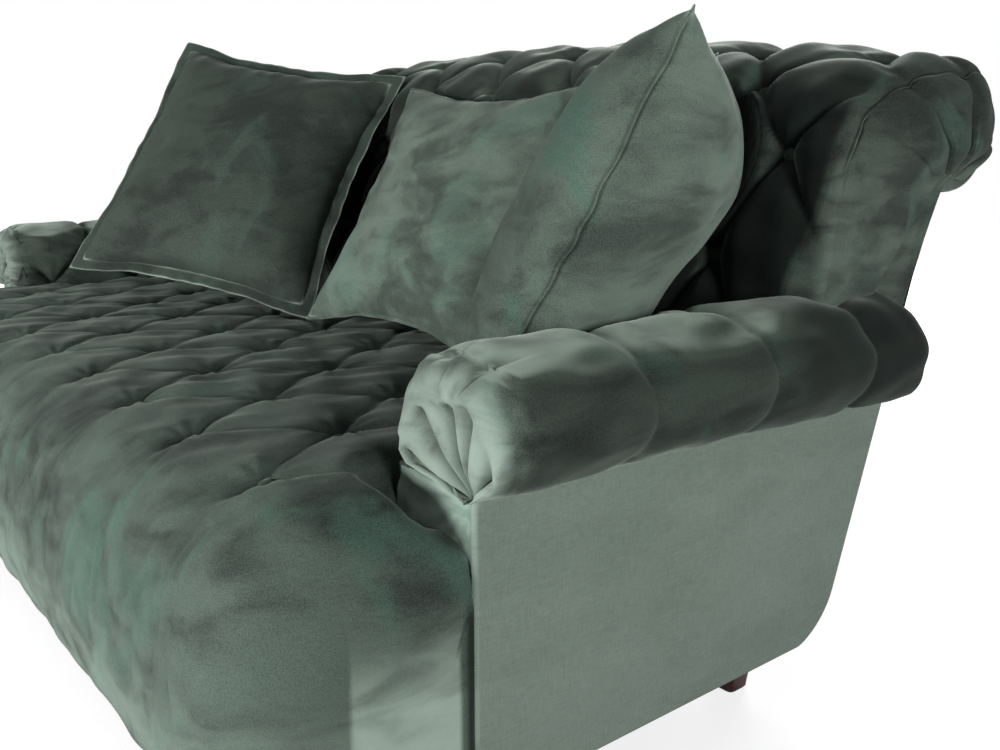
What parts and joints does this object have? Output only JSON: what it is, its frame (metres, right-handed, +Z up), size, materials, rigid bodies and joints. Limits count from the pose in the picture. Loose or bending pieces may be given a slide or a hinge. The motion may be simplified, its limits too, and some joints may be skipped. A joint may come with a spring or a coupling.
{
  "type": "chesterfield sofa",
  "caption": "Deep-buttoned velvet sofa with rolled arms, an arched rolled back, a seat that rolls over its front edge, short timber feet and loose scatter cushions.",
  "frame": {"origin": "on the floor, under the middle of the overall box", "axes": "+X along the sofa to the sitter's left, which is the viewer's right; +Y to the back; +Z up"},
  "size_m": [2.23, 1.3053, 1.0148],
  "materials": {
    "velvet": "soft-pile velvet, grey-green",
    "plain_velvet": "the same velvet drawn flat over boards and buttons",
    "timber": "planed, unfinished",
    "foot_timber": "dark red-brown stain, satin lacquer",
    "steel": "plain",
    "webbing": "woven elastic webbing",
    "dust_cloth": "thin black lining cloth"
  },
  "bodies": {
    "sofa": {"front_rail": "timber", "rear_rail": "timber", "dust_cover": "dust_cloth", "left_side_rail": "timber", "left_cross_rail": "timber", "right_side_rail": "timber", "right_cross_rail": "timber", "left_front_corner_block": "timber", "left_front_foot": "foot_timber", "left_front_foot_bolt": "steel", "left_rear_corner_block": "timber", "left_rear_foot": "foot_timber", "left_rear_foot_bolt": "steel", "right_front_corner_block": "timber", "right_front_foot": "foot_timber", "right_front_foot_bolt": "steel", "right_rear_corner_block": "timber", "right_rear_foot": "foot_timber", "right_rear_foot_bolt": "steel", "seat_pad": "velvet", "seat_spring_1": "steel", "seat_spring_2": "steel", "seat_spring_3": "steel", "seat_spring_4": "steel", "seat_spring_5": "steel", "seat_spring_6": "steel", "seat_spring_7": "steel", "back_lower_rail": "timber", "back_top_rail": "timber", "back_pad": "velvet", "outside_back_panel": "plain_velvet", "left_back_upright": "timber", "left_back_strut": "timber", "right_back_upright": "timber", "right_back_strut": "timber", "back_web_strap_1": "webbing", "back_web_strap_2": "webbing", "back_web_strap_3": "webbing", "back_web_strap_4": "webbing", "left_arm_post": "timber", "left_arm_top_rail": "timber", "left_arm_tack_rail": "timber", "left_arm_pad": "velvet", "left_outside_arm_panel": "plain_velvet", "left_arm_facing": "plain_velvet", "left_arm_button_1": "plain_velvet", "left_arm_button_2": "plain_velvet", "left_arm_button_3": "plain_velvet", "right_arm_post": "timber", "right_arm_top_rail": "timber", "right_arm_tack_rail": "timber", "right_arm_pad": "velvet", "right_outside_arm_panel": "plain_velvet", "right_arm_facing": "plain_velvet", "right_arm_button_1": "plain_velvet", "right_arm_button_2": "plain_velvet", "right_arm_button_3": "plain_velvet"},
    "left_scatter": {"left_cushion": "velvet"},
    "middle_scatter": {"middle_cushion": "velvet"},
    "right_scatter": {"right_cushion": "velvet"}
  },
  "joints": [
    {"name": "left_cushion_lift", "type": "slide", "parent": "sofa", "child": "left_scatter", "axis": [0, 0, 1], "range_m": [0, 0.6]},
    {"name": "middle_cushion_lift", "type": "slide", "parent": "sofa", "child": "middle_scatter", "axis": [0, 0, 1], "range_m": [0, 0.6]},
    {"name": "right_cushion_lift", "type": "slide", "parent": "sofa", "child": "right_scatter", "axis": [0, 0, 1], "range_m": [0, 0.6]}
  ]
}
